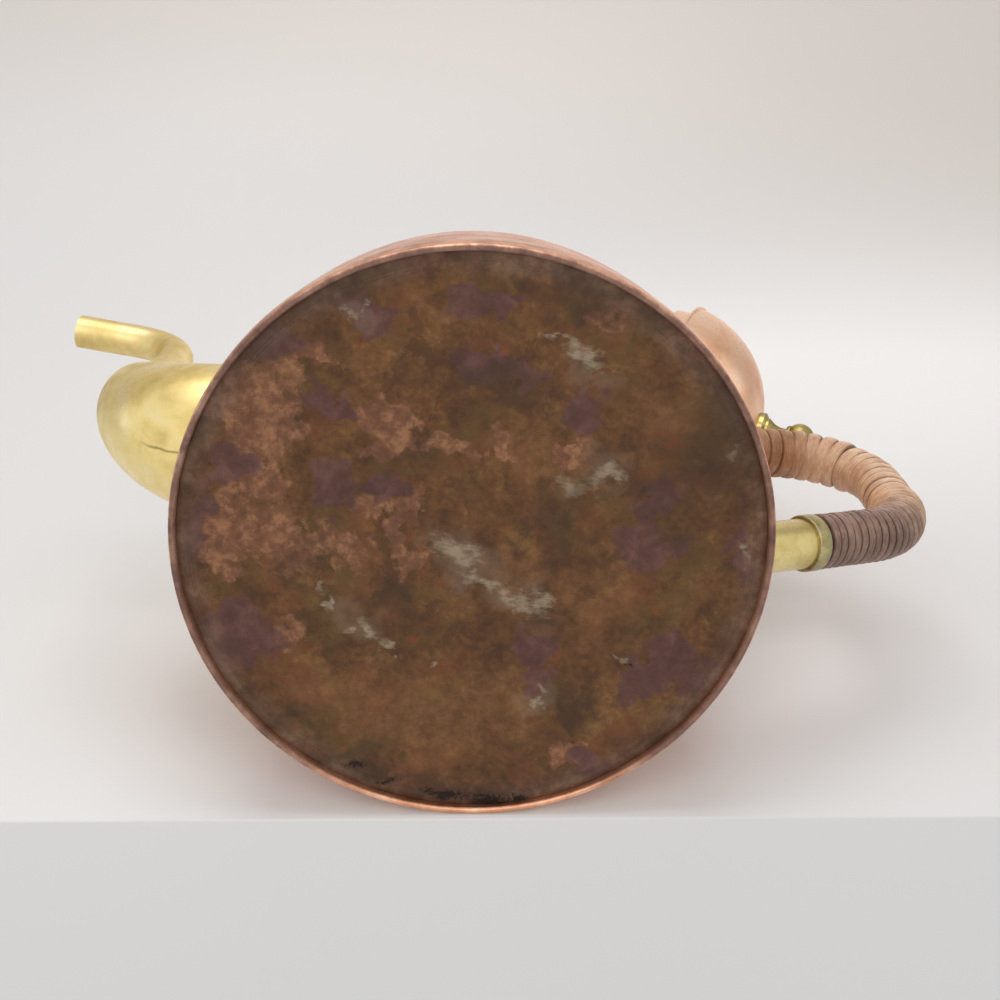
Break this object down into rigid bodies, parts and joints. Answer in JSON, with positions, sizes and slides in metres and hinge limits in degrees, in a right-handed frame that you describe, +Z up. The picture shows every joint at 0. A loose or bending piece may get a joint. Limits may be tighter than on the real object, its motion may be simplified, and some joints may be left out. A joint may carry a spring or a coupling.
{
  "type": "copper teapot",
  "caption": "Copper kettle-shaped teapot with a recessed flat base, swan-neck brass spout, cane-wound loop handle and a hinged domed lid with a ball finial.",
  "frame": {"origin": "middle of the folded foot rim on the surface the teapot stands on", "axes": "+Z up through the pot's middle, +X towards the spout, -X towards the handle and the lid hinge"},
  "size_m": [0.2933, 0.164, 0.2104],
  "materials": {
    "stained_copper": "dull heat-stained copper",
    "rim_copper": "worn folded copper",
    "body_copper": "polished copper",
    "lid_copper": "polished pink copper",
    "spout_brass": "polished pale brass",
    "core_brass": "dull brass",
    "cane": "wound cane, worn",
    "fitting_brass": "worn brass",
    "finial_brass": "worn brass",
    "rivet_copper": "worn copper"
  },
  "bodies": {
    "pot": {"base_plate": "stained_copper", "base_rim": "rim_copper", "side_wall": "body_copper", "shoulder": "body_copper", "mouth_ring": "body_copper", "spout_root": "spout_brass", "spout_neck": "spout_brass", "spout_flange": "spout_brass", "handle_core": "core_brass", "cane_grip": "cane", "lower_plate": "fitting_brass", "lower_socket": "fitting_brass", "lower_collar": "fitting_brass", "lower_rivets": "rivet_copper", "upper_plate": "fitting_brass", "upper_socket": "fitting_brass", "upper_collar": "fitting_brass", "upper_rivets": "rivet_copper", "hinge_body_leaf": "fitting_brass", "hinge_body_rivets": "rivet_copper", "hinge_pin": "fitting_brass"},
    "lid": {"lid_dome": "lid_copper", "lid_skirt": "lid_copper", "hinge_lid_leaf": "fitting_brass", "hinge_lid_rivets": "rivet_copper", "finial_base": "finial_brass", "finial": "finial_brass", "finial_washer": "finial_brass"}
  },
  "joints": [
    {"name": "lid_hinge", "type": "hinge", "parent": "pot", "child": "lid", "pos_m": [-0.057, 0, 0.12075], "axis": [0, 1, 0], "range_deg": [0, 112]}
  ]
}
